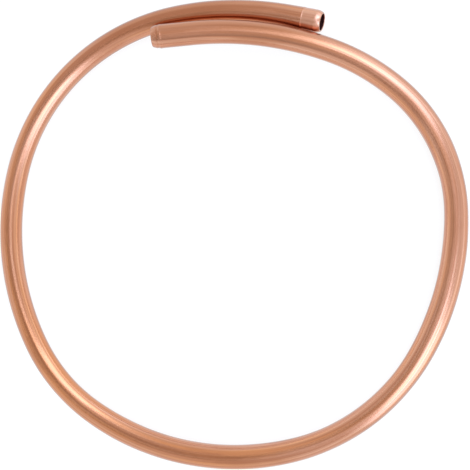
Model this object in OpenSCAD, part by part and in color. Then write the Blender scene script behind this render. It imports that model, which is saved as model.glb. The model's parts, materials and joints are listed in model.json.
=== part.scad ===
// Copper tube coil: one length of soft copper tube bent by hand into a single open round.
// The inner end climbs and passes over the outer end, and both cut ends have their edge rolled in.
// All lengths in millimetres. The coil lies on the floor with +Z up.
// The origin is on the floor, in the middle of the coil's outline; the crossing is on the +Y side.

/* [Tube] */
// Outside diameter of the tube
tube_od = 15; // [12:0.5:18]
// Wall of the tube
tube_wall = 1; // [0.7:0.1:1.5]

/* [Cut ends] */
// Straight length left behind the cut at the outer end
outer_straight = 18.5; // [12:0.5:30]
// Straight length left behind the cut at the inner end
inner_straight = 23; // [12:0.5:35]
// Inside radius of the edge that the tube cutter rolled in
curl_inside = 1; // [0.6:0.1:1.6]
// How far the edge is rolled in, in degrees
curl_turn = 70; // [40:5:85]

/* [Outer end, right of the crown] */
// Bend radius over the crown of the outer pass
crown_radius = 195; // [160:1:240]
// Turn of the outer pass right of its crown, in degrees
crown_turn_right = 10; // [7:0.5:13]
// Bend radius that lifts the outer end off the floor
lift_radius = 60; // [45:1:90]
// Angle of the lifting bend, in degrees
lift_turn = 8; // [4:0.5:12]
// Roll of the lifting bend from level towards upright, in degrees
lift_roll = 70; // [50:1:90]

/* [Left side, going round from the crown] */
// Turn of the outer pass left of its crown, in degrees
crown_turn_left = 10; // [6:0.5:14]
// Bend radius of the upper left corner
upper_left_radius = 132; // [110:1:155]
// Turn of the upper left corner, in degrees
upper_left_turn = 66; // [58:0.5:74]
// Bend radius of the left side
left_radius = 166; // [140:1:190]
// Turn of the left side, in degrees
left_turn = 40.5; // [34:0.5:47]
// Bend radius of the lower left corner
lower_left_radius = 113; // [95:1:130]
// Turn of the lower left corner, in degrees
lower_left_turn = 29.5; // [24:0.5:35]

/* [Right side, going round towards the inner end] */
// Bend radius of the lower right corner
lower_right_radius = 130; // [110:1:150]
// Turn of the lower right corner, in degrees
lower_right_turn = 45.5; // [38:0.5:52]
// Bend radius of the right side
right_radius = 174; // [150:1:200]
// Turn of the right side, in degrees
right_turn = 30.5; // [25:0.5:36]
// Bend radius of the upper right corner
upper_right_radius = 105; // [90:1:120]
// Turn of the upper right corner while it still lies flat, in degrees
upper_right_turn = 9.5; // [6:0.5:13]

/* [Inner end, climbing over the outer one] */
// Turn of the upper right corner while it climbs, in degrees
climb_turn = 39; // [33:0.5:45]
// Bend radius after that corner
shoulder_radius = 137; // [115:1:160]
// Turn after that corner, in degrees
shoulder_turn = 20; // [15:0.5:25]
// Bend radius of the inner pass over the crossing
inner_radius = 204; // [175:1:235]
// Turn of the inner pass right of its crown, in degrees
inner_turn_right = 20; // [15:0.5:24]
// Turn of the inner pass left of its crown, in degrees
inner_turn_left = 5; // [2:0.5:8]
// Height of the inner pass above the outer pass, crown to crown
crossing_rise = 12; // [9:0.5:18]
// How far the inner crown stands left of the outer crown
crossing_shift = 2; // [0:0.5:6]
// Gap seen from above between the outer mouth and the inner pass beside it
mouth_gap = 0.3; // [0.1:0.1:3]

/* [Hidden] */
$fa = 2;
$fs = 0.8;

tube_radius = tube_od / 2;
bore_radius = tube_radius - tube_wall;
curl_outside = curl_inside + tube_wall;
curl_length = curl_outside * sin(curl_turn);

// Bend radii and turns are kept to a thousandth
function settled(x) = round(1000 * x) / 1000;
function settled_bends(bends) = [for (b = bends) [settled(b[0]), settled(b[1])]];

// A number kept to six digits
function six_digits(x) =
    x == 0 ? 0
    : let (unit = pow(10, floor(log(abs(x))) - 5)) round(x / unit) * unit;

// A direction in the floor plane and the direction left of it
function ahead(heading) = [cos(heading), sin(heading)];
function left_of(heading) = [-sin(heading), cos(heading)];

// End of a flat bend to the left; a negative turn walks it backwards
function walk(from, heading, radius, turn) = from + radius * (left_of(heading) - left_of(heading + turn));

// Point and heading at each joint of a run of flat bends
function joints(from, heading, bends, i = 0) =
    i == len(bends) ? [[from, heading]]
    : concat([[from, heading]],
        joints(walk(from, heading, bends[i][0], bends[i][1]), heading + bends[i][1], bends, i + 1));

// Point and heading where a run of flat bends starts that ends at a known place
function run_start(to, heading, bends, i) =
    i < 0 ? [to, heading]
    : run_start(walk(to, heading, bends[i][0], -bends[i][1]), heading - bends[i][1], bends, i - 1);

// How far a run of bends reaches along and across its first direction
function reach(bends, i = 0, heading = 0) =
    i == len(bends) ? [0, 0]
    : walk([0, 0], heading, bends[i][0], bends[i][1]) + reach(bends, i + 1, heading + bends[i][1]);

// Radius and turn of the bend that leaves a heading and spans a chord
function bend_radius(heading, chord) = (chord * chord) / (2 * (left_of(heading) * chord));
function bend_turn(heading, chord) = 2 * atan2(left_of(heading) * chord, ahead(heading) * chord);

// The outer end, followed from the crown at [0, 0] to the middle of its mouth
lift_from = crown_radius * [sin(crown_turn_right), cos(crown_turn_right) - 1, 0];
lift_along = [cos(crown_turn_right), -sin(crown_turn_right), 0];
lift_inward = [-sin(crown_turn_right), -cos(crown_turn_right), 0];
lift_towards = cos(lift_roll) * lift_inward + sin(lift_roll) * [0, 0, 1];
lift_to = lift_from + lift_radius * (sin(lift_turn) * lift_along + (1 - cos(lift_turn)) * lift_towards);
outer_along = cos(lift_turn) * lift_along + sin(lift_turn) * lift_towards;
mouth = lift_to + (outer_straight + curl_length) * outer_along;

// The crown of the inner pass keeps that pass clear of the outer mouth
pass_reach = inner_radius + tube_od + mouth_gap;
mouth_aside = mouth[0] + crossing_shift;
inner_crown_y = mouth[1] - sqrt(pow(pass_reach, 2) - pow(mouth_aside, 2)) + inner_radius;
inner_crown = [-crossing_shift, inner_crown_y];

// The climbing stretch lies in one tilted plane, from where it leaves the floor to its crown
climb_bends = [
    [upper_right_radius, climb_turn],
    [shoulder_radius, shoulder_turn],
    [inner_radius, inner_turn_right]
];
climb_reach = reach(climb_bends);
climb_total = climb_turn + shoulder_turn + inner_turn_right;
climb_tilt = asin(crossing_rise / climb_reach[1]);
leave_heading = 540 - atan2(cos(climb_tilt) * sin(climb_total), cos(climb_total));
leave_across = climb_reach[1] * cos(climb_tilt);
leave = inner_crown - climb_reach[0] * ahead(leave_heading) - leave_across * left_of(leave_heading);

// The flat part: the left side runs down from the crown, the right side runs up to the climb
left_bends = [
    [crown_radius, crown_turn_left],
    [upper_left_radius, upper_left_turn],
    [left_radius, left_turn],
    [lower_left_radius, lower_left_turn]
];
right_bends = [
    [lower_right_radius, lower_right_turn],
    [right_radius, right_turn],
    [upper_right_radius, upper_right_turn]
];
left_joints = joints([0, 0], 180, left_bends);
left_end = left_joints[len(left_bends)];
right_start = run_start(leave, leave_heading, right_bends, len(right_bends) - 1);

// Two bends close the bottom between them, each tangent to its neighbour
close_span = right_start[0] - left_end[0];
close_from = ahead(left_end[1]);
close_to = ahead(right_start[1]);
close_lean = close_span * (close_from + close_to);
close_open = 2 * (1 - close_from * close_to);
close_arm = (sqrt(pow(close_lean, 2) + close_open * (close_span * close_span)) - close_lean) / close_open;
close_mid = (left_end[0] + right_start[0] + close_arm * (close_from - close_to)) / 2;
close_first = close_mid - left_end[0];
close_second = right_start[0] - close_mid;
close_turn = bend_turn(left_end[1], close_first);
close_heading = left_end[1] + close_turn;
close_bends = [
    [bend_radius(left_end[1], close_first), close_turn],
    [bend_radius(close_heading, close_second), bend_turn(close_heading, close_second)]
];

// All flat bends in the order they are met, from the right end of the crown to the climb
flat_bends = settled_bends(concat(
    [[crown_radius, crown_turn_right + crown_turn_left]],
    [for (i = [1 : len(left_bends) - 1]) left_bends[i]],
    close_bends,
    right_bends
));
flat_heading = 180 - settled(crown_turn_right);
flat_from = walk([0, 0], 180, settled(crown_radius), -settled(crown_turn_right));
flat_joints = joints(flat_from, flat_heading, flat_bends);
flat_to = flat_joints[len(flat_bends)];

// The outline of the flat part places the origin in the middle of the coil
flat_path = [
    for (i = [0 : len(flat_bends) - 1])
        for (s = [0 : 1 : flat_bends[i][1]])
            walk(flat_joints[i][0], flat_joints[i][1], flat_bends[i][0], s)
];
path_x = [for (p = flat_path) p[0]];
path_y = [for (p = flat_path) p[1]];
middle = [(min(path_x) + max(path_x)) / 2, (min(path_y) + max(path_y)) / 2];

// The bends that leave the floor at either end
outer_bends = settled_bends([[lift_radius, lift_turn]]);
inner_bends = settled_bends([
    [upper_right_radius, climb_turn],
    [shoulder_radius, shoulder_turn],
    [inner_radius, inner_turn_right + inner_turn_left]
]);

// A move in two steps, a rounded one and the small rest, so that bends meet face to face
module moved(by) {
    rounded = [for (x = by) settled(x)];
    translate(rounded)
        translate(by - rounded)
            children();
}

// A turn in small even steps with a small rest, for the same reason
module turned(about, angle) {
    quarters = 90 * round(angle / 90);
    steps = ceil(abs(angle - quarters) / 5);
    step = steps == 0 ? 0 : sign(angle - quarters) * acos(six_digits(cos((angle - quarters) / steps)));
    stepped = steps * atan2(six_digits(sin(step)), six_digits(cos(step)));
    rotate(quarters * about)
        rotate((angle - quarters - stepped) * about)
            stepped_turn(step * about, steps)
                children();
}

module stepped_turn(step, steps) {
    if (steps > 0) {
        rotate(step)
            stepped_turn(step, steps - 1)
                children();
    } else {
        children();
    }
}

module tube_section() {
    difference() {
        circle(tube_radius);
        circle(bore_radius);
    }
}

// A run of bends to the left in the local XY plane
module run_of_bends(from, heading, bends) {
    starts = joints(from, heading, bends);
    for (i = [0 : len(bends) - 1]) {
        centre = starts[i][0] + bends[i][0] * left_of(starts[i][1]);
        moved([centre[0], centre[1], 0])
            rotate_extrude(angle = bends[i][1], start = starts[i][1] - 90)
                translate([bends[i][0], 0])
                    tube_section();
    }
}

// Half section of a cut end: the straight wall and the edge rolled in over the bore
module end_section(straight) {
    translate([bore_radius, 0])
        square([tube_wall, straight]);
    translate([tube_radius - curl_outside, straight])
        intersection() {
            difference() {
                circle(curl_outside);
                circle(curl_inside);
            }
            polygon(2 * curl_outside * [
                [0, 0],
                [1, 0],
                1.5 * ahead(curl_turn / 2),
                ahead(curl_turn)
            ]);
        }
}

// One end of the tube: it leaves a point of the flat part, rolled about its own direction
module tube_end(from, heading, roll, bends, straight) {
    last = joints([0, 0], 0, bends)[len(bends)];
    moved([from[0], from[1], 0])
        turned([0, 0, 1], heading)
            turned([1, 0, 0], roll) {
                run_of_bends([0, 0], 0, bends);
                moved([last[0][0], last[0][1], 0])
                    turned([0, 0, 1], last[1])
                        rotate([-90, 0, 0])
                            rotate([0, 90, 0])
                                rotate_extrude()
                                    end_section(straight);
            }
}

module copper_tube() {
    color([0.72, 0.45, 0.30])
        translate([-middle[0], -middle[1], tube_radius]) {
            run_of_bends(flat_from, flat_heading, flat_bends);
            tube_end(flat_from, flat_heading + 180, 180 - lift_roll, outer_bends, outer_straight);
            tube_end(flat_to[0], flat_to[1], climb_tilt, inner_bends, inner_straight);
        }
}

copper_tube();
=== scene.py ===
"""Looks of a copper tube coil: one bright length of soft copper tube bent into a single open round."""
import json
import math
from collections import namedtuple

import bmesh
import bpy
from mathutils import Matrix, Vector


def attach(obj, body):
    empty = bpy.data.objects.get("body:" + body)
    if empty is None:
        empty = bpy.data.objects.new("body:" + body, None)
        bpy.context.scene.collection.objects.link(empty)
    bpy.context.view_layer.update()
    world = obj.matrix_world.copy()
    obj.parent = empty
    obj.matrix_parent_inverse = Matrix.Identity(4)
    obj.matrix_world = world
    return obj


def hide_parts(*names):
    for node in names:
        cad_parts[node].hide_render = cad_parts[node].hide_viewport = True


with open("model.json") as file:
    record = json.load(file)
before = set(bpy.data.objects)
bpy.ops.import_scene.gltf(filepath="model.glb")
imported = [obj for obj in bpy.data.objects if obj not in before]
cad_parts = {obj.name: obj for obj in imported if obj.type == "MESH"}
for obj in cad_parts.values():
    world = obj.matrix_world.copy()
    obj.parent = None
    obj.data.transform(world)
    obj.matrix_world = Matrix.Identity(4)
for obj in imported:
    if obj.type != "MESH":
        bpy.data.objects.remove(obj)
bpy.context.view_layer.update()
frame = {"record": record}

bl_info = {
    "name": "Copper Tube Coil",
    "version": (1, 0, 0),
    "blender": (4, 5, 0),
    "location": "View3D > Sidebar > Copper Tube",
    "description": "Builds a bent copper tube around its packed frame, with a plain studio",
    "category": "Object",
}

MOUNTS = {mount["name"]: mount for mount in frame["record"]["mounts"]}
UP = Vector((0, 0, 1))
MM = 0.001


def length_of(name, mm, description):
    """A length setting, written in millimetres."""
    return bpy.props.FloatProperty(
        name=name, description=description, default=mm * MM, min=0, unit="LENGTH", precision=5
    )


def angle_of(name, degrees, description):
    """An angle setting, written in degrees."""
    return bpy.props.FloatProperty(
        name=name, description=description, default=math.radians(degrees), subtype="ANGLE"
    )


def share_of(name, value, description):
    """A plain number setting."""
    return bpy.props.FloatProperty(name=name, description=description, default=value, precision=4)


def colour_of(name, value, description):
    """A colour setting."""
    return bpy.props.FloatVectorProperty(
        name=name, description=description, default=value, size=3, min=0, max=1, subtype="COLOR"
    )


class TubeSizes(bpy.types.PropertyGroup):
    """Section of the tube, its cut ends and how finely it is drawn."""

    diameter: length_of("Diameter", MOUNTS["outer_end"]["dims"]["r_mm"] * 2, "Outside diameter of the tube")
    wall: length_of("Wall", 1, "Thickness of the tube's wall")
    edge_break: length_of("Broken edge", 0.07, "Rounding of the cut edge's corners")
    seam_gap: length_of("Seam gap", 0.002, "Points closer than this are one where two stretches meet")
    around: bpy.props.IntProperty(name="Around", description="Points around the tube", default=96)
    ring_gap: length_of("Ring gap", 3, "Distance between rings along the tube")
    end_ring_gap: length_of("End ring gap", 0.4, "Distance between rings near a cut")
    bore_ring_gap: length_of("Bore ring gap", 6, "Distance between rings along the bore")


class EndMarks(bpy.types.PropertyGroup):
    """What the tube cutter and the sizing tool left at the two ends, and the painted shade in the inner
    crease.
    """

    outer_reach: length_of("Outer reach", 2.4, "Run of the outer end past its seat, before its tip")
    inner_reach: length_of("Inner reach", 1.4, "Run of the inner end past its seat, before its tip")
    roll_length: length_of("Rolled length", 4.2, "Length over which the cutter rolled an end in")
    roll_drop: length_of("Rolled drop", 1.0, "How much slimmer, in radius, an end is where its tip begins")
    tip_radius: length_of("Tip radius", 1.1, "Radius of the tight tip over the cut")
    tip_turn: angle_of("Tip turn", 80, "How steep the tip is at the cut")
    tip_steps: bpy.props.IntProperty(name="Tip steps", description="Rings over a tip", default=6)
    rim: length_of("Rim", 0.25, "Thickness that the wall has left at the cut")
    outer_zone: length_of("Outer sized end", 11.9, "Length of the sized stretch at the outer end")
    inner_zone: length_of("Inner sized end", 4.9, "Length of the sized stretch at the inner end")
    inner_polish: share_of("Inner polish", 0.45, "How bright the inner end is rubbed, next to the outer one")
    zone_depth: length_of("Sizing depth", 0.14, "How much slimmer a sized stretch is, in radius")
    bead_height: length_of("Bead height", 0.14, "Height of the bead where a sized stretch begins")
    bead_width: length_of("Bead width", 0.6, "Half width of that bead, the groove and the crease")
    groove_at: length_of("Groove place", 4.7, "Distance of the roller's groove from the outer tip")
    groove_depth: length_of("Groove depth", 0.08, "Depth of the roller's groove")
    crease_at: length_of("Crease place", 3.4, "Distance of the crease from the inner tip")
    crease_depth: length_of("Crease depth", 0.16, "Depth of the crease")
    # Painted shade: darkens the metal in the crease at the inner end and takes its rubbed polish away there
    crease_painted_shade: share_of("Crease grime", 1.0, "How dull the metal is in the crease")


class BendSizes(bpy.types.PropertyGroup):
    """Bend radii and turns, followed from the outer end to the inner end."""

    crown_radius: length_of("Crown", 195, "Bend radius over the crown of the outer pass")
    crown_turn_right: angle_of("Crown, right", 10, "Turn of the outer pass right of its crown")
    crown_turn_left: angle_of("Crown, left", 10, "Turn of the outer pass left of its crown")
    upper_left_radius: length_of("Upper left", 132, "Bend radius of the upper left corner")
    haunch_turn: angle_of("Haunch turn", 30, "Turn of the upper left corner's first part, next to the crown")
    upper_left_turn: angle_of("Upper left turn", 36, "Turn of the rest of the upper left corner")
    left_radius: length_of("Left", 166, "Bend radius of the left side")
    left_turn: angle_of("Left turn", 40.5, "Turn of the left side")
    lower_left_radius: length_of("Lower left", 113, "Bend radius of the lower left corner")
    lower_left_turn: angle_of("Lower left turn", 29.5, "Turn of the lower left corner")
    lower_right_radius: length_of("Lower right", 130, "Bend radius of the lower right corner")
    lower_right_turn: angle_of("Lower right turn", 45.5, "Turn of the lower right corner")
    right_radius: length_of("Right", 174, "Bend radius of the right side")
    right_turn: angle_of("Right turn", 30.5, "Turn of the right side")
    upper_right_radius: length_of("Upper right", 105, "Bend radius of the upper right corner")
    upper_right_turn: angle_of("Upper right turn", 9.5, "Turn of that corner while it lies flat")
    climb_turn: angle_of("Climb turn", 39, "Turn of that corner while it climbs")
    shoulder_radius: length_of("Shoulder", 137, "Bend radius after the climbing corner")
    shoulder_turn: angle_of("Shoulder turn", 20, "Turn after the climbing corner")
    inner_radius: length_of("Inner pass", 204, "Bend radius of the inner pass")
    inner_turn: angle_of("Inner pass turn", 25, "Turn of the inner pass")


class BendFlats(bpy.types.PropertyGroup):
    """How much wider, seen from above, each stretch became under the hands that bent it."""

    blend: length_of("Blend", 22, "Half length over which one stretch's width passes into the next")
    outer_end: share_of("Outer end", 0.0, "Outer end and its lift")
    crown: share_of("Crown", -0.03, "Crown of the outer pass")
    haunch: share_of("Haunch", -0.07, "First part of the upper left corner")
    upper_left: share_of("Upper left", -0.07, "Rest of the upper left corner")
    left: share_of("Left", -0.04, "Left side")
    lower_left: share_of("Lower left", -0.03, "Lower left corner")
    bottom: share_of("Bottom", 0.04, "Bottom")
    lower_right: share_of("Lower right", -0.03, "Lower right corner")
    right: share_of("Right", 0.03, "Right side")
    upper_right: share_of("Upper right", -0.05, "Upper right corner")
    climb: share_of("Climb", 0.0, "Climbing corner and shoulder")
    inner_pass: share_of("Inner pass", 0.02, "Inner pass and its end")


class BendWarmth(bpy.types.PropertyGroup):
    """How far each stretch has turned from pink to golden in store."""

    blend: length_of("Blend", 35, "Half length over which one stretch's tone passes into the next")
    outer_end: share_of("Outer end", 0.3, "Outer end and its lift")
    crown: share_of("Crown", 0.4, "Crown of the outer pass")
    haunch: share_of("Haunch", 0.3, "First part of the upper left corner")
    upper_left: share_of("Upper left", 0.3, "Rest of the upper left corner")
    left: share_of("Left", 0.85, "Left side")
    lower_left: share_of("Lower left", 1.0, "Lower left corner")
    bottom: share_of("Bottom", 0.5, "Bottom")
    lower_right: share_of("Lower right", 0.2, "Lower right corner")
    right: share_of("Right", 0.1, "Right side")
    upper_right: share_of("Upper right", 0.1, "Upper right corner")
    climb: share_of("Climb", 0.1, "Climbing corner and shoulder")
    inner_pass: share_of("Inner pass", 0.2, "Inner pass and its end")


class BendDarkening(bpy.types.PropertyGroup):
    """How far each stretch is darkened towards the tarnished colour, which the material keeps to the tube's
    top and outer side as painted shade.
    """

    blend: length_of("Blend", 35, "Half length over which one stretch's dulling passes into the next")
    outer_end: share_of("Outer end", 0.05, "Outer end and its lift")
    crown: share_of("Crown", 1.0, "Crown of the outer pass")
    haunch: share_of("Haunch", 1.0, "First part of the upper left corner")
    upper_left: share_of("Upper left", 0.2, "Rest of the upper left corner")
    left: share_of("Left", 0.05, "Left side")
    lower_left: share_of("Lower left", 0.05, "Lower left corner")
    bottom: share_of("Bottom", 0.15, "Bottom")
    lower_right: share_of("Lower right", 0.05, "Lower right corner")
    right: share_of("Right", 0.05, "Right side")
    upper_right: share_of("Upper right", 0.0, "Upper right corner")
    climb: share_of("Climb", 0.0, "Climbing corner and shoulder")
    inner_pass: share_of("Inner pass", 0.62, "Inner pass and its end")


class CopperFinish(bpy.types.PropertyGroup):
    """Colours, wear and painted shade of the drawn copper."""

    pink: colour_of("Pink copper", (0.68, 0.318, 0.195), "Clean metal")
    golden: colour_of("Golden copper", (0.71, 0.272, 0.104), "Metal that has turned golden")
    # Also the colour that the painted shade and the painted reflection darken the metal towards
    tarnish_and_shade: colour_of("Tarnished copper", (0.47, 0.162, 0.066), "Metal where it has dulled")
    fresh: colour_of("Fresh copper", (0.8, 0.43, 0.3), "Metal that the tools rubbed bright at the ends")
    rim: colour_of("Rim tint", (0.72, 0.84, 0.9), "Tint of what the metal mirrors at its outline")
    bore: colour_of("Bore copper", (0.46, 0.17, 0.15), "Dull metal inside the tube")
    bore_stain: share_of("Bore stain", 0.6, "Brightness of the stains in the bore, next to its metal")
    roughness_low: share_of("Smoothest", 0.2, "Roughness along the polished streaks")
    roughness_high: share_of("Roughest", 0.28, "Roughness along the dull streaks")
    roughness_rubbed: share_of("Rubbed", 0.06, "How much rougher the tools left the sized ends")
    gloss: share_of("Gloss", 0.9, "How much clear gloss lies over the metal")
    gloss_roughness: share_of("Gloss roughness", 0.2, "Roughness of that gloss")
    line_length: length_of("Line length", 150, "Length of the fine lines that the drawing die left")
    line_width: length_of("Line width", 1.4, "Width of those lines")
    line_relief: share_of("Line relief", 0.02, "Share of the lines' full depth that shows")
    line_depth: length_of("Line depth", 0.4, "Full depth of those lines")
    hair_length: length_of("Hairline length", 60, "Length of the hairlines beside them")
    hair_width: length_of("Hairline width", 0.6, "Width of the hairlines")
    streak_length: length_of("Streak length", 110, "Length of the broad streaks")
    streak_width: length_of("Streak width", 4, "Width of the broad streaks")
    # Painted reflection and shade: these draw a dark line along the inner pass, partly a real score and
    # partly a painted reflection of a dark edge, with painted shade beside it
    score_reflection_start: length_of("Score start", 825, "Distance from the outer end at which the long score begins")
    score_reflection_fade: length_of("Score fade", 110, "Length over which the score comes in")
    score_reflection_angle: angle_of("Score place", 22, "Where the score lies, from the tube's top inwards")
    score_reflection_shade: angle_of("Score shade", 28, "How far the metal is shaded beside the score")
    score_reflection_edge: angle_of("Score edge", 4, "How abruptly the score ends on its inner side")
    score_reflection_depth: share_of("Score depth", 0.6, "How much of the metal's own tone the score hides")
    score_reflection_tone: share_of("Score tone", 0.6, "Brightness of the score, next to tarnished copper")
    # Painted shade: these keep the darkening on the tube's top and outer side and leave the flank inside the
    # round brighter
    painted_shade_edge: angle_of("Dull edge", 10, "Where the dulling begins to fade, from the tube's top inwards")
    painted_shade_fade: angle_of("Dull fade", 20, "How far it takes to fade")
    painted_shade_rest: share_of("Dull rest", 0.2, "Share of it that the inner flank keeps")
    patch_length: length_of("Patch length", 45, "Length of the dulled patches")
    patch_width: length_of("Patch width", 8, "Width of the dulled patches")


class StudioLook(bpy.types.PropertyGroup):
    """Camera, light, floor and the cards that the metal mirrors."""

    aim: bpy.props.FloatVectorProperty(
        name="Aim", description="Point that the camera looks at", unit="LENGTH",
        default=(5.37 * MM, -0.55 * MM, 7.5 * MM), precision=5,
    )
    distance: length_of("Distance", 800, "Distance of the camera from that point")
    lean: angle_of("Lean", 10, "How far the camera stands to the right of straight above")
    half_view: length_of("Half view", 150.6, "Half of what the picture spans at that distance")
    nearest: length_of("Nearest", 10, "Nearest place that the camera sees")
    farthest: length_of("Farthest", 20000, "Farthest place that the camera sees")
    floor_half: length_of("Floor", 3000, "Half width of the floor")
    floor_colour: colour_of("Floor colour", (0.9, 0.9, 0.9), "Colour of the floor")
    floor_lit: share_of("Lit floor", 0.75, "How bright the lamps alone make a white floor")
    shadow_share: share_of("Shadow", 0.22, "How much of the floor's brightness comes from the lamps")
    card_place: bpy.props.FloatVectorProperty(
        name="Card", description="Middle of the dark card beside the camera", unit="LENGTH",
        default=(-450 * MM, -170 * MM, 800 * MM), precision=5,
    )
    card_half: length_of("Card size", 340, "Half width of the dark card")
    card_colour: colour_of("Card colour", (0.67, 0.61, 0.54), "Colour of the dark card")
    card_roughness: share_of("Card roughness", 0.9, "Roughness of the card and the strip")
    strip_place: bpy.props.FloatVectorProperty(
        name="Strip", description="Middle of the darker strip under the card", unit="LENGTH",
        default=(-200 * MM, -250 * MM, 790 * MM), precision=5,
    )
    strip_half_width: length_of("Strip width", 85, "Half width of the strip")
    strip_half_length: length_of("Strip length", 270, "Half length of the strip")
    strip_colour: colour_of("Strip colour", (0.52, 0.42, 0.33), "Colour of the strip")
    box_distance: length_of("Box distance", 2500, "Distance of the soft boxes from the tube")
    box_level: share_of("Box level", 1.0, "Brightness of the soft boxes")
    box_colour: colour_of("Box colour", (0.48, 0.68, 1.0), "Daylight colour of the soft boxes")
    lower_azimuth: angle_of("Lower box", 318, "Where the lower right soft box stands")
    lower_half_width: angle_of("Lower box width", 18, "Half of what it spans around the tube")
    upper_azimuth: angle_of("Upper box", 54, "Where the upper right soft box stands")
    upper_half_width: angle_of("Upper box width", 20, "Half of what it spans around the tube")
    low_azimuth: angle_of("Low box", 8, "Where the low soft box on the right stands")
    low_half_width: angle_of("Low box width", 34, "Half of what it spans around the tube")


Stretch = namedtuple("Stretch", "name length radius turn axis")


def stretches_of_route(bends, marks):
    """The tube as straights and bends, from the outer cut to the inner one, and where it starts."""
    outer, inner = MOUNTS["outer_end"], MOUNTS["inner_end"]
    inner_seat = inner["dims"]["length_mm"] * MM
    outer_straight = outer["dims"]["length_mm"] * MM + marks.outer_reach
    away = -Vector(outer["axis"]).normalized()
    start = Vector(outer["pos_m"]) - away * (outer_straight + marks.outer_reach) / 2
    flat_heading = math.pi - bends.crown_turn_right
    flat_along = heading_vector(flat_heading)
    lift_axis = away.cross(flat_along).normalized()
    lift_turn = away.angle(flat_along)
    crossing = crossing_point(start + away * outer_straight, away, flat_along)

    left = [
        ("crown", bends.crown_radius, bends.crown_turn_right + bends.crown_turn_left),
        ("haunch", bends.upper_left_radius, bends.haunch_turn),
        ("upper_left", bends.upper_left_radius, bends.upper_left_turn),
        ("left", bends.left_radius, bends.left_turn),
        ("lower_left", bends.lower_left_radius, bends.lower_left_turn),
    ]
    right = [
        ("lower_right", bends.lower_right_radius, bends.lower_right_turn),
        ("right", bends.right_radius, bends.right_turn),
        ("upper_right", bends.upper_right_radius, bends.upper_right_turn),
    ]
    climbing = [
        ("climb", bends.upper_right_radius, bends.climb_turn),
        ("climb", bends.shoulder_radius, bends.shoulder_turn),
        ("inner_pass", bends.inner_radius, bends.inner_turn),
    ]
    tilt, leave_heading, leave = climb_of_inner_end(inner, inner_seat, climbing)
    tilted_up = Matrix.Rotation(tilt, 3, heading_vector(leave_heading)) @ UP
    left_end, left_heading = walk_flat(crossing, flat_heading, left)
    right_start, right_heading = walk_flat(leave, leave_heading, right, backwards=True)
    bottom = closing_bends(left_end, left_heading, right_start, right_heading)

    lift_radius = (crossing - start - away * outer_straight).length / (2 * math.sin(lift_turn / 2))
    route = [Stretch("outer_end", outer_straight, 0, 0, UP)]
    route.append(bend_stretch("outer_end", lift_radius, lift_turn, lift_axis))
    for name, radius, turn in left + bottom + right:
        route.append(bend_stretch(name, radius, turn, UP))
    for name, radius, turn in climbing:
        route.append(bend_stretch(name, radius, turn, tilted_up))
    route.append(Stretch("inner_pass", inner_seat + marks.inner_reach, 0, 0, UP))
    return start, away, route


def bend_stretch(name, radius, turn, axis):
    """One bend of the route, under the name of its settings for width, warmth and darkening."""
    return Stretch(name, radius * turn, radius, turn, axis)


def heading_vector(heading):
    """The level direction of a heading."""
    return Vector((math.cos(heading), math.sin(heading), 0))


def placement(place, across, over, along):
    """What puts something at a place, with these three directions as its own axes."""
    return Matrix.Translation(place) @ Matrix((across, over, along)).transposed().to_4x4()


def crossing_point(start, away, along):
    """Where the bend that lifts the outer end meets the floor plane of the tube's axis."""
    rise = MOUNTS["outer_end"]["dims"]["r_mm"] * MM - start.z
    chord = (away + along).normalized()
    return start + chord * (rise / chord.z)


def walk_flat(point, heading, bends, backwards=False):
    """Point and heading after a run of level bends to the left, or before it."""
    for _, radius, turn in (reversed(bends) if backwards else bends):
        turn = -turn if backwards else turn
        centre = point + UP.cross(heading_vector(heading)) * radius
        heading += turn
        point = centre - UP.cross(heading_vector(heading)) * radius
    return point, heading


def climb_of_inner_end(inner, seat, climbing):
    """Tilt of the plane that the inner end climbs in, and where the tube leaves the floor."""
    along = Vector(inner["axis"]).normalized()
    total = sum(turn for _, _, turn in climbing)
    tilt = math.asin(along.z / math.sin(total))
    heading = math.atan2(along.y, along.x)
    heading -= math.atan2(math.sin(total) * math.cos(tilt), math.cos(total))
    ahead = heading_vector(heading)
    aside = Matrix.Rotation(tilt, 3, ahead) @ UP.cross(ahead)
    reach = Vector((0, 0, 0))
    turned = 0
    for _, radius, turn in climbing:
        reach += radius * (math.sin(turned + turn) - math.sin(turned)) * ahead
        reach += radius * (math.cos(turned) - math.cos(turned + turn)) * aside
        turned += turn
    leave = Vector(inner["pos_m"]) - along * seat / 2 - reach
    return tilt, heading, leave


def closing_bends(start, start_heading, end, end_heading):
    """Two bends that close the bottom, each tangent to its neighbour."""
    span = end - start
    leaving, arriving = heading_vector(start_heading), heading_vector(end_heading)
    lean = span.dot(leaving + arriving)
    opening = 2 * (1 - leaving.dot(arriving))
    arm = (math.sqrt(lean * lean + opening * span.length_squared) - lean) / opening
    middle = (start + end + arm * (leaving - arriving)) / 2
    bends = []
    heading = start_heading
    for chord in (middle - start, end - middle):
        ahead = heading_vector(heading)
        aside = UP.cross(ahead)
        turn = 2 * math.atan2(aside.dot(chord), ahead.dot(chord))
        bends.append(("bottom", chord.length_squared / (2 * aside.dot(chord)), turn))
        heading += turn
    return bends


Ring = namedtuple("Ring", "verts centre along across over distance")
OUTSIDE_SLOT, BORE_SLOT = 0, 1


def new_tube_bmesh():
    """An empty bmesh whose points can hold their place on the unbent tube, their tone and their darkening
    with its painted shade.
    """
    bm = bmesh.new()
    bm.verts.layers.float_vector.new("unbent")
    bm.verts.layers.float.new("end_polish")
    bm.verts.layers.float.new("warmth")
    bm.verts.layers.float.new("painted_shade_and_darkening")
    return bm


def loop_of(verts):
    """The loop of edges that joins a ring of points, in the order of the points."""
    own = set(verts)
    return list(dict.fromkeys(e for v in verts for e in v.link_edges if own.issuperset(e.verts)))


def new_verts(made, key="geom"):
    """The points that an operator has just made."""
    return [item for item in made[key] if isinstance(item, bmesh.types.BMVert)]


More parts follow.
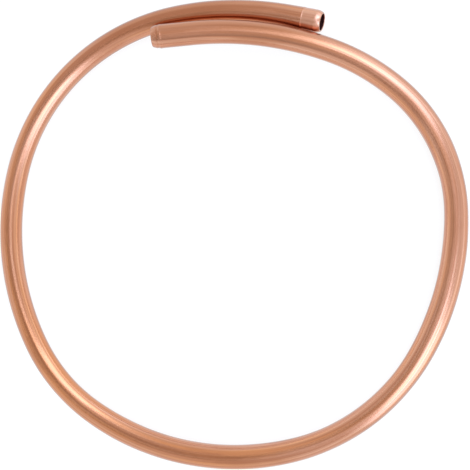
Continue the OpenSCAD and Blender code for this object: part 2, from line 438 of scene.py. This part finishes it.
class WallMaker:
    """Draws one wall of the tube ring by ring, one stretch at a time."""

    def __init__(self, start, along, radius, around):
        self.along = along.copy()
        self.across = UP.cross(along).normalized()
        self.over = self.along.cross(self.across)
        self.centre = start.copy()
        self.distance = 0.0
        self.radius = radius
        self.around = around

    def begin(self):
        """Starts a stretch with a ring where the last stretch ended."""
        self.bm = new_tube_bmesh()
        self.rings = []
        made = bmesh.ops.create_circle(
            self.bm, cap_ends=False, segments=self.around, radius=self.radius,
            matrix=placement(self.centre, self.across, self.over, self.along),
        )
        self.remember(made["verts"])

    def remember(self, verts):
        """Keeps a ring and where it lies."""
        self.rings.append(
            Ring(list(verts), self.centre.copy(), self.along.copy(), self.across.copy(),
                 self.over.copy(), self.distance)
        )

    def go_straight(self, length, steps):
        """Extrudes the last ring along the tube."""
        step = self.along * length / steps
        for _ in range(steps):
            made = bmesh.ops.extrude_edge_only(self.bm, edges=loop_of(self.rings[-1].verts))
            bmesh.ops.translate(self.bm, vec=step, verts=new_verts(made))
            self.centre += step
            self.distance += length / steps
            self.remember(new_verts(made))

    def go_round(self, radius, turn, axis, steps):
        """Spins the last ring round a bend."""
        middle = self.centre + axis.cross(self.along).normalized() * radius
        part = Matrix.Rotation(turn / steps, 3, axis)
        for _ in range(steps):
            verts = self.rings[-1].verts
            made = bmesh.ops.spin(
                self.bm, geom=verts + loop_of(verts), cent=middle, axis=axis, angle=turn / steps, steps=1
            )
            self.centre = middle + part @ (self.centre - middle)
            self.along, self.across, self.over = part @ self.along, part @ self.across, part @ self.over
            self.distance += radius * turn / steps
            self.remember(new_verts(made, "geom_last"))

    def add_tip(self, ring, way, profile):
        """Carries an end ring on through a profile of steps outwards and shrinks."""
        outwards = ring.along * way
        verts, radius, reached = ring.verts, self.radius, 0.0
        for reach, drop in profile:
            shrink = (self.radius - drop) / radius
            made = bmesh.ops.extrude_edge_only(self.bm, edges=loop_of(verts))
            verts = new_verts(made)
            space = Matrix.Translation(-ring.centre - outwards * reached)
            bmesh.ops.scale(self.bm, vec=(shrink,) * 3, space=space, verts=verts)
            bmesh.ops.translate(self.bm, vec=outwards * (reach - reached), verts=verts)
            radius, reached = radius * shrink, reach
            self.rings.append(
                Ring(verts, ring.centre + outwards * reached, ring.along, ring.across, ring.over,
                     ring.distance + way * reached)
            )

    def add_to(self, whole, material_index):
        """Joins the finished stretch to the whole tube."""
        for face in self.bm.faces:
            face.smooth = True
            face.material_index = material_index
        mesh = bpy.data.meshes.new("stretch")
        self.bm.to_mesh(mesh)
        self.bm.free()
        whole.from_mesh(mesh)
        bpy.data.meshes.remove(mesh)


def smooth_step(value):
    """Eases a value from 0 to 1."""
    value = min(max(value, 0.0), 1.0)
    return value * value * (3 - 2 * value)


def hump(value, width):
    """1 at 0, falling off smoothly to both sides."""
    return math.exp(-(value / width) ** 2)


def within(from_cut, zone, edge):
    """1 on a sized stretch and 0 beyond it, passing from one to the other over an edge of this width."""
    return smooth_step((zone - from_cut) / edge + 0.5)


def share_at(distance, route, shares):
    """A setting of the stretches at a distance along the tube, passing evenly from one to the next."""
    covered, reached, total = 0.0, 0.0, 0.0
    for stretch in route:
        low = max(distance - shares.blend, reached)
        high = min(distance + shares.blend, reached + stretch.length)
        if high > low:
            total += getattr(shares, stretch.name) * (high - low)
            covered += high - low
        reached += stretch.length
    return total / covered if covered else 0.0


def rolled_at(from_cut, marks):
    """How far an end is rolled in, from 0 where the roll begins to 1 where the tip begins."""
    share = min(max(1 - from_cut / marks.roll_length, 0.0), 1.0)
    return share * share


def tip_profile(marks, outside):
    """Steps of the tight tip, as reach and drop in radius. The bore only runs on to just short of it."""
    lean = math.atan(2 * marks.roll_drop / marks.roll_length)
    steps = []
    for i in range(1, marks.tip_steps + 1):
        angle = lean + (marks.tip_turn - lean) * i / marks.tip_steps
        reach = marks.tip_radius * (math.sin(angle) - math.sin(lean))
        steps.append((reach, marks.tip_radius * (math.cos(lean) - math.cos(angle))))
    return steps if outside else [(steps[-1][0] - marks.rim, 0.0)]


def end_mark_at(from_outer, from_inner, marks):
    """Change of the outside radius that the tools left near the cuts."""
    change = 0.0
    for from_cut, zone in ((from_outer, marks.outer_zone), (from_inner, marks.inner_zone)):
        change -= marks.zone_depth * within(from_cut, zone, 2 * marks.bead_width)
        change += marks.bead_height * hump(from_cut - zone, marks.bead_width)
        change -= marks.roll_drop * rolled_at(from_cut, marks)
    change -= marks.groove_depth * hump(from_outer - marks.groove_at, marks.bead_width)
    return change - marks.crease_depth * hump(from_inner - marks.crease_at, marks.bead_width)


def bore_drop(sizes, marks):
    """How much slimmer, in radius, the bore is at the cut, so that a thin rim is left."""
    tip_drop = tip_profile(marks, outside=True)[-1][1]
    return marks.roll_drop + marks.zone_depth + tip_drop + marks.rim - sizes.wall


def shape_rings(wall, route, scene, outside):
    """Gives each ring its place on the unbent tube, its tone, its darkening with the painted shade in the
    inner crease, its hand-bent width and its end marks.
    """
    marks = scene.tube_marks
    unbent = wall.bm.verts.layers.float_vector["unbent"]
    polish = wall.bm.verts.layers.float["end_polish"]
    warmth = wall.bm.verts.layers.float["warmth"]
    painted_shade_and_darkening = wall.bm.verts.layers.float["painted_shade_and_darkening"]
    total = sum(stretch.length for stretch in route)
    for ring in wall.rings:
        side = UP.cross(ring.along).normalized()
        widen = share_at(ring.distance, route, scene.tube_flats)
        warm = share_at(ring.distance, route, scene.tube_warmth)
        # Darkening of the stretch, which the material keeps on the tube's top and outer side as painted
        # shade
        dull = share_at(ring.distance, route, scene.tube_dulling)
        from_outer, from_inner = ring.distance, total - ring.distance
        # Painted shade in the crease at the inner end: the metal there is darkened and loses its rubbed
        # polish
        painted_crease_shade = marks.crease_painted_shade * hump(from_inner - marks.crease_at, marks.bead_width)
        if outside:
            change = end_mark_at(from_outer, from_inner, marks)
        else:
            rolled = max(rolled_at(from_outer, marks), rolled_at(from_inner, marks))
            change = -bore_drop(scene.tube_sizes, marks) * rolled
        polished = max(
            within(from_outer, marks.outer_zone, marks.bead_width),
            marks.inner_polish * within(from_inner, marks.inner_zone, marks.bead_width),
        )
        for v in ring.verts:
            offset = v.co - ring.centre
            v[unbent] = (ring.distance, offset.dot(ring.across), offset.dot(ring.over))
            v[polish] = polished * (1 - painted_crease_shade)
            v[warmth] = warm
            v[painted_shade_and_darkening] = dull + painted_crease_shade
            offset += offset.normalized() * change
            v.co = ring.centre + offset + side * offset.dot(side) * widen


def draw_wall(whole, start, along, route, scene, outside):
    """Draws one wall of the tube from cut to cut and returns where it ends."""
    sizes = scene.tube_sizes
    radius = sizes.diameter / 2 - (0 if outside else sizes.wall)
    profile = tip_profile(scene.tube_marks, outside)
    gap = sizes.ring_gap if outside else sizes.bore_ring_gap
    wall = WallMaker(start, along, radius, sizes.around)
    for stretch in route:
        wall.begin()
        if stretch.turn:
            wall.go_round(stretch.radius, stretch.turn, stretch.axis, math.ceil(stretch.length / gap))
        else:
            wall.go_straight(stretch.length, math.ceil(stretch.length / sizes.end_ring_gap))
        if stretch is route[0]:
            wall.add_tip(wall.rings[0], -1, profile)
        if stretch is route[-1]:
            wall.add_tip(wall.rings[-1], 1, profile)
        shape_rings(wall, route, scene, outside)
        wall.add_to(whole, OUTSIDE_SLOT if outside else BORE_SLOT)
    return wall.centre


def bent_tube_mesh(scene):
    """The tube as one closed mesh: outside, rolled cut edges and bore."""
    sizes = scene.tube_sizes
    start, along, route = stretches_of_route(scene.tube_bends, scene.tube_marks)
    whole = new_tube_bmesh()
    draw_wall(whole, start, along, route, scene, outside=False)
    end = draw_wall(whole, start, along, route, scene, outside=True)
    bmesh.ops.remove_doubles(whole, verts=whole.verts, dist=sizes.seam_gap)
    cut_edges = [e for e in whole.edges if e.is_boundary]
    for tip in (start, end):
        near = [e for e in cut_edges if (e.verts[0].co - tip).length < sizes.diameter]
        bridged = bmesh.ops.bridge_loops(whole, edges=near)
        for face in bridged["faces"]:
            face.smooth = True
            face.material_index = OUTSIDE_SLOT
    bmesh.ops.recalc_face_normals(whole, faces=whole.faces)
    bmesh.ops.bevel(
        whole, geom=cut_edges, offset=sizes.edge_break, offset_type="OFFSET", affect="EDGES",
        segments=2, profile=0.5, material=-1,
    )
    mesh = bpy.data.meshes.new("bent_tube")
    whole.to_mesh(mesh)
    whole.free()
    return mesh


class NodeSheet:
    """Small helper to add and join the nodes of a material."""

    # Places of the colour sockets on a Mix node, which has sockets of other kinds under the same names
    MIX_COLOURS = (6, 7)
    MIX_RESULT = 2

    def __init__(self, name):
        self.material = bpy.data.materials.new(name)
        self.material.use_nodes = True
        self.tree = self.material.node_tree
        self.shader = self.tree.nodes["Principled BSDF"]

    def add(self, kind, **settings):
        """Adds a node and sets its plain settings."""
        node = self.tree.nodes.new(kind)
        for name, value in settings.items():
            setattr(node, name, value)
        return node

    def join(self, source, target):
        """Joins one socket to another."""
        self.tree.links.new(source, target)

    def attribute(self, name, output):
        """What the mesh holds under a name."""
        return self.add("ShaderNodeAttribute", attribute_name=name).outputs[output]

    def two(self, operation, first, second, clamped=True):
        """What two values give together, kept between 0 and 1 if wanted."""
        node = self.add("ShaderNodeMath", operation=operation, use_clamp=clamped)
        self.join(first, node.inputs[0])
        self.join(second, node.inputs[1])
        return node.outputs[0]

    def sum(self, first, second):
        """The sum of two values."""
        return self.two("ADD", first, second)

    def product(self, first, second):
        """The product of two values."""
        return self.two("MULTIPLY", first, second)

    def noise(self, vector, scale, detail, roughness=0.5):
        """A noise over a vector, from 0 to 1."""
        node = self.add("ShaderNodeTexNoise")
        node.inputs["Scale"].default_value = scale
        node.inputs["Detail"].default_value = detail
        node.inputs["Roughness"].default_value = roughness
        self.join(vector, node.inputs["Vector"])
        return node.outputs["Fac"]

    def stretched(self, vector, scale):
        """A vector scaled along its own axes."""
        node = self.add("ShaderNodeMapping")
        node.inputs["Scale"].default_value = scale
        self.join(vector, node.inputs["Vector"])
        return node.outputs["Vector"]

    def spread(self, value, low, high, to_low, to_high):
        """A value taken from one range to another."""
        node = self.add("ShaderNodeMapRange")
        node.inputs["From Min"].default_value = low
        node.inputs["From Max"].default_value = high
        node.inputs["To Min"].default_value = to_low
        node.inputs["To Max"].default_value = to_high
        self.join(value, node.inputs["Value"])
        return node.outputs["Result"]

    def blend(self, share, first, second):
        """A mix of two colours, each a colour or a socket."""
        node = self.add("ShaderNodeMix", data_type="RGBA")
        self.join(share, node.inputs["Factor"])
        for place, colour in zip(self.MIX_COLOURS, (first, second)):
            if isinstance(colour, bpy.types.NodeSocket):
                self.join(colour, node.inputs[place])
            else:
                node.inputs[place].default_value = (*colour, 1)
        return node.outputs[self.MIX_RESULT]


# How far a value, going from low to high, takes a share or a roughness
Reach = namedtuple("Reach", "low high at_low at_high")
LINES_TARNISH = Reach(0.48, 0.62, 0, 0.65)
HAIRS_TARNISH = Reach(0.5, 0.7, 0, 0.4)
PATCHES_TARNISH = Reach(0.52, 0.72, 0, 0.6)
PATCHES_DARKENING = Reach(0.3, 0.6, 0.85, 1)
STREAKS_WARM = Reach(0.35, 0.65, -0.6, 0.6)
POLISH_FRESH = Reach(0, 1, 0, 0.4)
BORE_STAINS = Reach(0.35, 0.65, 0, 1)
BORE_ROUGHNESS = Reach(0.3, 0.7, 0.4, 0.6)
STREAKS_LOW, STREAKS_HIGH = 0.3, 0.7
WEAR_ROUGHNESS = 0.55


def place_on_tube(sheet, unbent):
    """Distance along the unbent tube, and angle around it from its top to the inside of the round."""
    parts = sheet.add("ShaderNodeSeparateXYZ")
    sheet.join(unbent, parts.inputs[0])
    angle = sheet.two("ARCTAN2", parts.outputs["Y"], parts.outputs["Z"], clamped=False)
    return parts.outputs["X"], angle


def score_and_painted_reflection(sheet, distance, angle, finish):
    """A long dark line, partly a score that the die left and partly a painted reflection of a dark edge:
    painted shade on its outer side, with a sharp inner edge.
    """
    place = finish.score_reflection_angle
    shade = sheet.spread(angle, place - finish.score_reflection_shade, place, 0, 1)
    shade = sheet.product(shade, shade)
    edge = sheet.spread(angle, place, place + finish.score_reflection_edge, 1, 0)
    begun = sheet.spread(distance, finish.score_reflection_start, finish.score_reflection_start + finish.score_reflection_fade, 0, 1)
    return sheet.product(sheet.product(shade, edge), sheet.spread(begun, 0, 1, 0, finish.score_reflection_depth))


def drawn_copper(finish):
    """Bright drawn copper: die lines, hairlines, streaks, darkened metal with painted shade, a long dark
    line that is partly a score and partly a painted reflection, rubbed ends.
    """
    sheet = NodeSheet("drawn_copper")
    unbent = sheet.attribute("unbent", "Vector")
    warmth = sheet.attribute("warmth", "Fac")
    painted_shade_and_darkening = sheet.attribute("painted_shade_and_darkening", "Fac")
    polish = sheet.attribute("end_polish", "Fac")

    def along_tube(length, width, detail):
        """A noise that is drawn out along the tube."""
        drawn = sheet.stretched(unbent, (1 / length, 1 / width, 1 / width))
        return sheet.noise(drawn, 1, detail, WEAR_ROUGHNESS)

    lines = along_tube(finish.line_length, finish.line_width, detail=2)
    hairs = along_tube(finish.hair_length, finish.hair_width, detail=1)
    streaks = along_tube(finish.streak_length, finish.streak_width, detail=2)
    patches = along_tube(finish.patch_length, finish.patch_width, detail=3)

    golden = sheet.sum(warmth, sheet.spread(streaks, *STREAKS_WARM))
    tone = sheet.blend(golden, finish.pink[:], finish.golden[:])
    for wear, reach in ((lines, LINES_TARNISH), (hairs, HAIRS_TARNISH), (patches, PATCHES_TARNISH)):
        tone = sheet.blend(sheet.spread(wear, *reach), tone, finish.tarnish_and_shade[:])

    # Painted shade and light: the darkening lies on the top and the outer side as painted shade, and the
    # flank inside the round is kept brighter as painted light
    distance, angle = place_on_tube(sheet, unbent)
    painted_shade_side = sheet.spread(angle, finish.painted_shade_edge, finish.painted_shade_edge + finish.painted_shade_fade, 1, finish.painted_shade_rest)
    dull = sheet.product(sheet.product(painted_shade_and_darkening, painted_shade_side), sheet.spread(patches, *PATCHES_DARKENING))
    tone = sheet.blend(dull, tone, finish.tarnish_and_shade[:])
    # Painted reflection and shade along the inner pass, over a line that is partly a real score
    score_reflection_colour = [finish.score_reflection_tone * part for part in finish.tarnish_and_shade]
    tone = sheet.blend(score_and_painted_reflection(sheet, distance, angle, finish), tone, score_reflection_colour)
    tone = sheet.blend(sheet.spread(polish, *POLISH_FRESH), tone, finish.fresh[:])
    sheet.join(tone, sheet.shader.inputs["Base Color"])

    rough = sheet.spread(
        streaks, STREAKS_LOW, STREAKS_HIGH, finish.roughness_high, finish.roughness_low
    )
    rough = sheet.sum(rough, sheet.spread(polish, 0, 1, 0, finish.roughness_rubbed))
    sheet.join(rough, sheet.shader.inputs["Roughness"])
    sheet.shader.inputs["Metallic"].default_value = 1.0
    sheet.shader.inputs["Specular Tint"].default_value = (*finish.rim, 1)
    sheet.shader.inputs["Coat Weight"].default_value = finish.gloss
    sheet.shader.inputs["Coat Roughness"].default_value = finish.gloss_roughness

    bump = sheet.add("ShaderNodeBump")
    bump.inputs["Strength"].default_value = finish.line_relief
    bump.inputs["Distance"].default_value = finish.line_depth
    sheet.join(lines, bump.inputs["Height"])
    sheet.join(bump.outputs["Normal"], sheet.shader.inputs["Normal"])
    return sheet.material


def bore_copper(finish):
    """Dull, unpolished metal inside the tube."""
    sheet = NodeSheet("bore_copper")
    patches = sheet.noise(sheet.attribute("unbent", "Vector"), 1 / finish.patch_width, detail=4)
    stained = [finish.bore_stain * part for part in finish.bore]
    tone = sheet.blend(sheet.spread(patches, *BORE_STAINS), finish.bore[:], stained)
    sheet.join(tone, sheet.shader.inputs["Base Color"])
    sheet.join(sheet.spread(patches, *BORE_ROUGHNESS), sheet.shader.inputs["Roughness"])
    sheet.shader.inputs["Metallic"].default_value = 1.0
    return sheet.material


class OBJECT_OT_bent_tube(bpy.types.Operator):
    """Adds the bent copper tube in place of its plain solid"""

    bl_idname = "object.bent_tube_add"
    bl_label = "Bent copper tube"

    def execute(self, context):
        scene = context.scene
        mesh = bent_tube_mesh(scene)
        mesh.materials.append(drawn_copper(scene.copper_finish))
        mesh.materials.append(bore_copper(scene.copper_finish))
        tube = bpy.data.objects.new("bent_tube", mesh)
        scene.collection.objects.link(tube)
        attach(tube, "root")
        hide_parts("copper_tube")
        return {"FINISHED"}


def seen_rays(tree):
    """1 for rays that see the surroundings as they look: from the camera, a mirror or through glass."""
    path = tree.nodes.new("ShaderNodeLightPath")
    seen = path.outputs["Is Camera Ray"]
    for name in ("Is Glossy Ray", "Is Transmission Ray"):
        either = tree.nodes.new("ShaderNodeMath")
        either.operation = "MAXIMUM"
        tree.links.new(seen, either.inputs[0])
        tree.links.new(path.outputs[name], either.inputs[1])
        seen = either.outputs[0]
    return seen


def pale_floor(look):
    """White floor that keeps a faint shadow."""
    material = bpy.data.materials.new("pale_floor")
    material.use_nodes = True
    tree = material.node_tree
    tree.nodes.clear()
    out = tree.nodes.new("ShaderNodeOutputMaterial")
    lit = tree.nodes.new("ShaderNodeBsdfDiffuse")
    lit.inputs["Color"].default_value = (*look.floor_colour, 1)
    shaded = tree.nodes.new("ShaderNodeBsdfDiffuse")
    shaded.inputs["Color"].default_value = (*[look.shadow_share * part for part in look.floor_colour], 1)
    # The glow makes up what the lamps leave short of white
    glow = tree.nodes.new("ShaderNodeEmission")
    glow.inputs["Strength"].default_value = 1 - look.shadow_share * look.floor_lit
    both = tree.nodes.new("ShaderNodeAddShader")
    pick = tree.nodes.new("ShaderNodeMixShader")
    tree.links.new(shaded.outputs[0], both.inputs[0])
    tree.links.new(glow.outputs[0], both.inputs[1])
    tree.links.new(seen_rays(tree), pick.inputs[0])
    tree.links.new(lit.outputs[0], pick.inputs[1])
    tree.links.new(both.outputs[0], pick.inputs[2])
    tree.links.new(pick.outputs[0], out.inputs["Surface"])
    return material


# Panels of the soft boxes: their upper and lower edge in degrees from straight up, and their brightness
LightPanel = namedtuple("LightPanel", "high low level")
LOWER_BOX = (
    LightPanel(6, 16, 0.9), LightPanel(16, 24, 1.6), LightPanel(24, 38, 3.2),
    LightPanel(38, 56, 3.1), LightPanel(56, 72, 1.3), LightPanel(72, 89, 1.5),
)
UPPER_BOX = (
    LightPanel(6, 16, 1.5), LightPanel(16, 24, 2.6), LightPanel(24, 38, 3.0),
    LightPanel(38, 56, 2.6), LightPanel(56, 72, 0.8), LightPanel(72, 89, 0.6),
)
LOW_BOX = (LightPanel(74, 89, 0.4),)


def add_soft_box(scene, name, azimuth, half_width, panels, look):
    """A fan of soft panels around the tube, each from one height to the next, wider towards the floor."""
    for number, panel in enumerate(panels):
        zenith = math.radians(panel.high + panel.low) / 2
        height = 2 * look.box_distance * math.tan(math.radians(panel.low - panel.high) / 2)
        width = 2 * look.box_distance * math.tan(math.asin(math.sin(zenith) * math.sin(half_width)))
        light = bpy.data.lights.new(f"{name}_{number}", "AREA")
        light.shape = "RECTANGLE"
        light.size, light.size_y = width, height
        # A lamp is as bright as its power over pi times its area, here read in green
        light.energy = panel.level * look.box_level * math.pi * width * height / look.box_colour.g
        light.color = look.box_colour
        box = bpy.data.objects.new(light.name, light)
        away = heading_vector(azimuth) * math.sin(zenith) + UP * math.cos(zenith)
        across = UP.cross(away).normalized()
        box.matrix_world = placement(away * look.box_distance, across, away.cross(across), away)
        box.visible_camera = False
        scene.collection.objects.link(box)


# Colours of the surroundings, from the horizon at height 0 to straight up at height 1
SkyStop = namedtuple("SkyStop", "height colour")
SKY_STOPS = (
    SkyStop(0.0, (1.1, 1.25, 1.32)), SkyStop(0.36, (1.07, 1.19, 1.25)), SkyStop(0.5, (0.88, 0.9, 0.92)),
    SkyStop(0.65, (0.82, 0.82, 0.82)), SkyStop(1.0, (0.82, 0.82, 0.82)),
)


def add_world(scene):
    """White surroundings, dimmer overhead where the camera is."""
    world = bpy.data.worlds.new("studio")
    world.use_nodes = True
    scene.world = world
    tree = world.node_tree
    tree.nodes.clear()

    way = tree.nodes.new("ShaderNodeTexCoord").outputs["Generated"]
    parts = tree.nodes.new("ShaderNodeSeparateXYZ")
    tree.links.new(way, parts.inputs[0])
    ramp = tree.nodes.new("ShaderNodeValToRGB")
    tree.links.new(parts.outputs["Z"], ramp.inputs["Fac"])
    # A new ramp already has its first and its last stop
    for stop in SKY_STOPS[1:-1]:
        ramp.color_ramp.elements.new(stop.height)
    for element, stop in zip(ramp.color_ramp.elements, SKY_STOPS):
        element.color = (*stop.colour, 1)
    plain = tree.nodes.new("ShaderNodeBackground")
    out = tree.nodes.new("ShaderNodeOutputWorld")
    tree.links.new(ramp.outputs["Color"], plain.inputs["Color"])
    tree.links.new(plain.outputs[0], out.inputs["Surface"])


def add_flat(scene, name, place, half_width, half_length, material):
    """A level rectangle of the stage."""
    bm = bmesh.new()
    bmesh.ops.create_grid(bm, x_segments=1, y_segments=1, size=1)
    bmesh.ops.scale(bm, vec=(half_width, half_length, 1), verts=bm.verts)
    bmesh.ops.translate(bm, vec=Vector(place), verts=bm.verts)
    mesh = bpy.data.meshes.new(name)
    bm.to_mesh(mesh)
    bm.free()
    mesh.materials.append(material)
    flat = bpy.data.objects.new(name, mesh)
    scene.collection.objects.link(flat)
    return flat


def add_card(scene, name, place, half_width, half_length, colour, roughness):
    """A grey card beside the camera, which the metal mirrors as a darker band along the tube."""
    material = bpy.data.materials.new(name)
    material.use_nodes = True
    shader = material.node_tree.nodes["Principled BSDF"]
    shader.inputs["Base Color"].default_value = (*colour, 1)
    shader.inputs["Roughness"].default_value = roughness
    card = add_flat(scene, name, place, half_width, half_length, material)
    card.visible_camera = card.visible_diffuse = card.visible_shadow = False


def add_camera(scene, look):
    """The camera at the photograph's angle."""
    data = bpy.data.cameras.new("photo_camera")
    data.lens = data.sensor_width / 2 * look.distance / look.half_view
    camera = bpy.data.objects.new("photo_camera", data)
    back = Vector((math.sin(look.lean), 0, math.cos(look.lean)))
    right = Vector((0, 1, 0)).cross(back).normalized()
    place = Vector(look.aim) + back * look.distance
    camera.matrix_world = placement(place, right, back.cross(right), back)
    data.clip_start, data.clip_end = look.nearest, look.farthest
    scene.collection.objects.link(camera)
    scene.camera = camera


class OBJECT_OT_studio(bpy.types.Operator):
    """Adds the floor, the soft light, the cards and the camera"""

    bl_idname = "object.tube_studio_add"
    bl_label = "Studio"

    def execute(self, context):
        scene = context.scene
        look = scene.studio_look
        floor = add_flat(scene, "floor", (0, 0, 0), look.floor_half, look.floor_half, pale_floor(look))
        add_world(scene)
        add_soft_box(scene, "lower_box", look.lower_azimuth, look.lower_half_width, LOWER_BOX, look)
        add_soft_box(scene, "upper_box", look.upper_azimuth, look.upper_half_width, UPPER_BOX, look)
        add_soft_box(scene, "low_box", look.low_azimuth, look.low_half_width, LOW_BOX, look)
        add_card(
            scene, "dark_card", look.card_place, look.card_half, look.card_half,
            look.card_colour, look.card_roughness,
        )
        add_card(
            scene, "dark_strip", look.strip_place, look.strip_half_width, look.strip_half_length,
            look.strip_colour, look.card_roughness,
        )
        add_camera(scene, look)
        scene.view_settings.view_transform = "Standard"
        return {"FINISHED"}


class VIEW3D_PT_copper_tube(bpy.types.Panel):
    """Lists what can be added and its settings"""

    bl_label = "Copper tube coil"
    bl_idname = "VIEW3D_PT_copper_tube"
    bl_space_type = "VIEW_3D"
    bl_region_type = "UI"
    bl_category = "Copper Tube"

    def draw(self, context):
        layout = self.layout
        for operator in (OBJECT_OT_bent_tube, OBJECT_OT_studio):
            layout.operator(operator.bl_idname)
        for name in SETTINGS:
            box = layout.box()
            box.label(text=name.replace("_", " ").capitalize())
            group = getattr(context.scene, name)
            for setting in group.bl_rna.properties:
                if setting.identifier not in ("rna_type", "name"):
                    box.prop(group, setting.identifier)


SETTINGS = {
    "tube_sizes": TubeSizes,
    "tube_marks": EndMarks,
    "tube_bends": BendSizes,
    "tube_flats": BendFlats,
    "tube_warmth": BendWarmth,
    "tube_dulling": BendDarkening,
    "copper_finish": CopperFinish,
    "studio_look": StudioLook,
}
CLASSES = (*SETTINGS.values(), OBJECT_OT_bent_tube, OBJECT_OT_studio, VIEW3D_PT_copper_tube)


def register():
    """Registers the classes and hangs their settings on the scene."""
    for cls in CLASSES:
        bpy.utils.register_class(cls)
    for name, group in SETTINGS.items():
        setattr(bpy.types.Scene, name, bpy.props.PointerProperty(type=group))


def unregister():
    """Takes the settings and classes away again."""
    for name in SETTINGS:
        delattr(bpy.types.Scene, name)
    for cls in reversed(CLASSES):
        bpy.utils.unregister_class(cls)


def main():
    """Builds the studio and the tube."""
    register()
    bpy.ops.object.tube_studio_add()
    bpy.ops.object.bent_tube_add()


if __name__ == "__main__":
    main()
